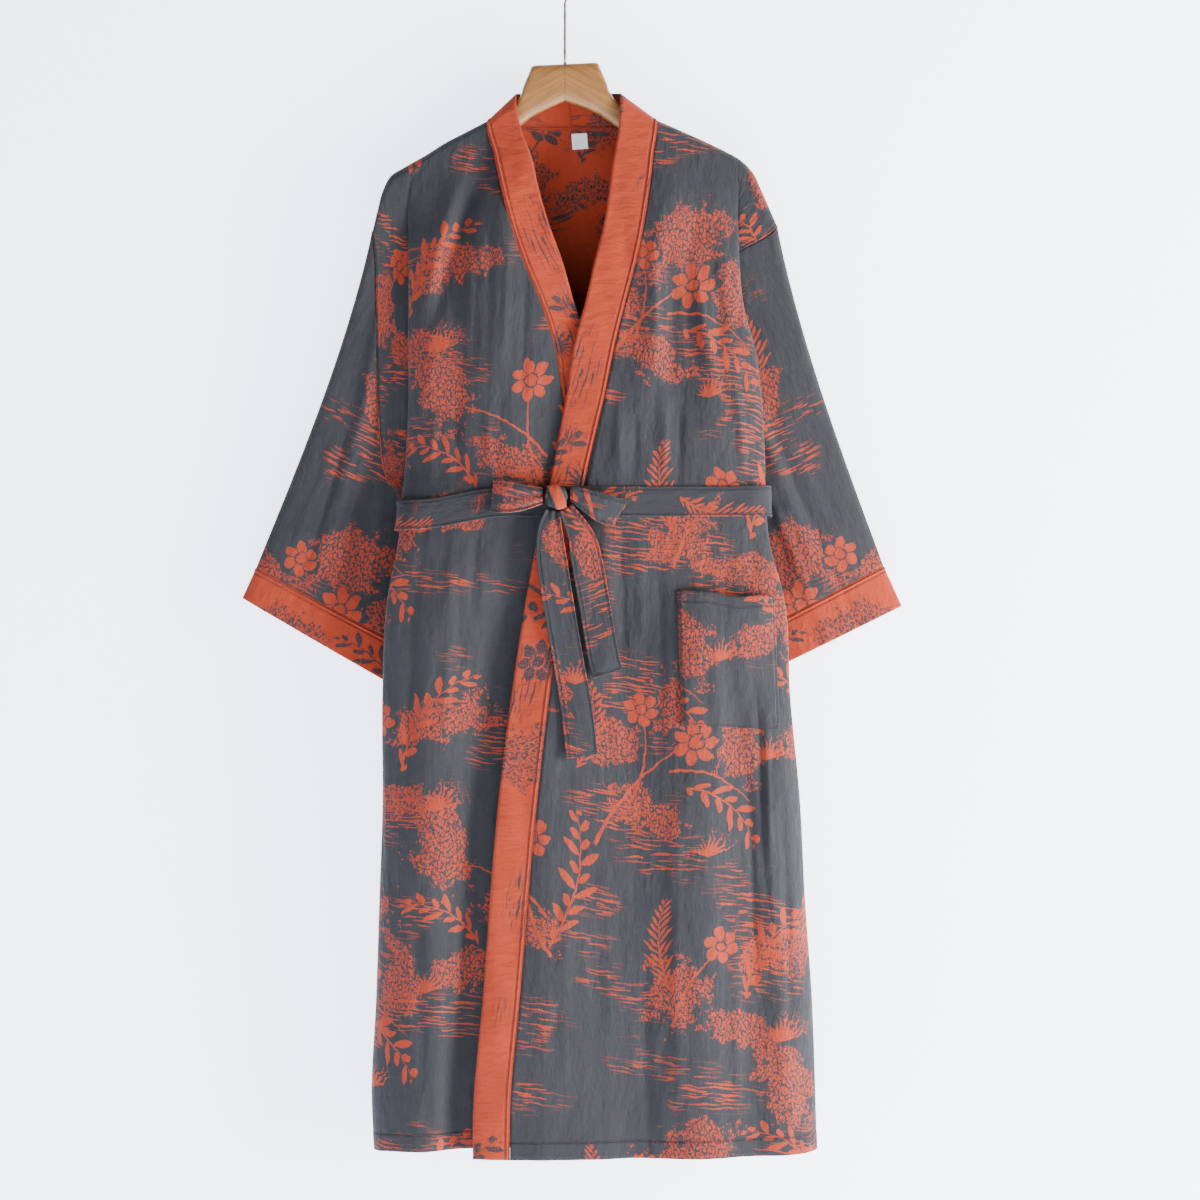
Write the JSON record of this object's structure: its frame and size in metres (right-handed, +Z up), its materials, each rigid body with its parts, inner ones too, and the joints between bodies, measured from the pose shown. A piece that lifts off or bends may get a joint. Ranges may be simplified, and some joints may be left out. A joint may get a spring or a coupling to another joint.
{
  "type": "kimono robe on a hanger",
  "caption": "Long wrap robe of two-colour double gauze with wide cuffed sleeves, a band collar, a tied belt and a patch pocket, hung on a wooden hanger by its hook",
  "frame": {"origin": "the top of the inside of the hook, where it bears on a rail", "axes": "+Z up, -Y out of the front of the robe, +X to the wearer's left, which is the viewer's right"},
  "size_m": [0.7552, 0.1177, 1.3648],
  "materials": {
    "robe_face": "slate side of a two-colour cotton double gauze, matt and softly creased",
    "robe_reverse": "burnt-orange side of the same double gauze, matt",
    "hanger_wood": "satin varnished light hardwood, glued at the middle",
    "hanger_steel": "round wire, darkened nickel plate",
    "label_cotton": "blank woven cotton tape"
  },
  "bodies": {
    "root": {"back": "robe_face", "front_left": "robe_face", "front_right": "robe_face", "sleeve_left": "robe_face", "sleeve_right": "robe_face", "cuff_left": "robe_reverse", "cuff_right": "robe_reverse", "band_left": "robe_reverse", "band_right": "robe_reverse", "belt": "robe_face", "belt_knot": "robe_face", "bow_loop_left": "robe_face", "bow_loop_right": "robe_face", "belt_tail_long": "robe_face", "belt_tail_short": "robe_face", "pocket": "robe_face", "label": "label_cotton", "hanger_wood": "hanger_wood", "hanger_hook": "hanger_steel"}
  },
  "joints": []
}
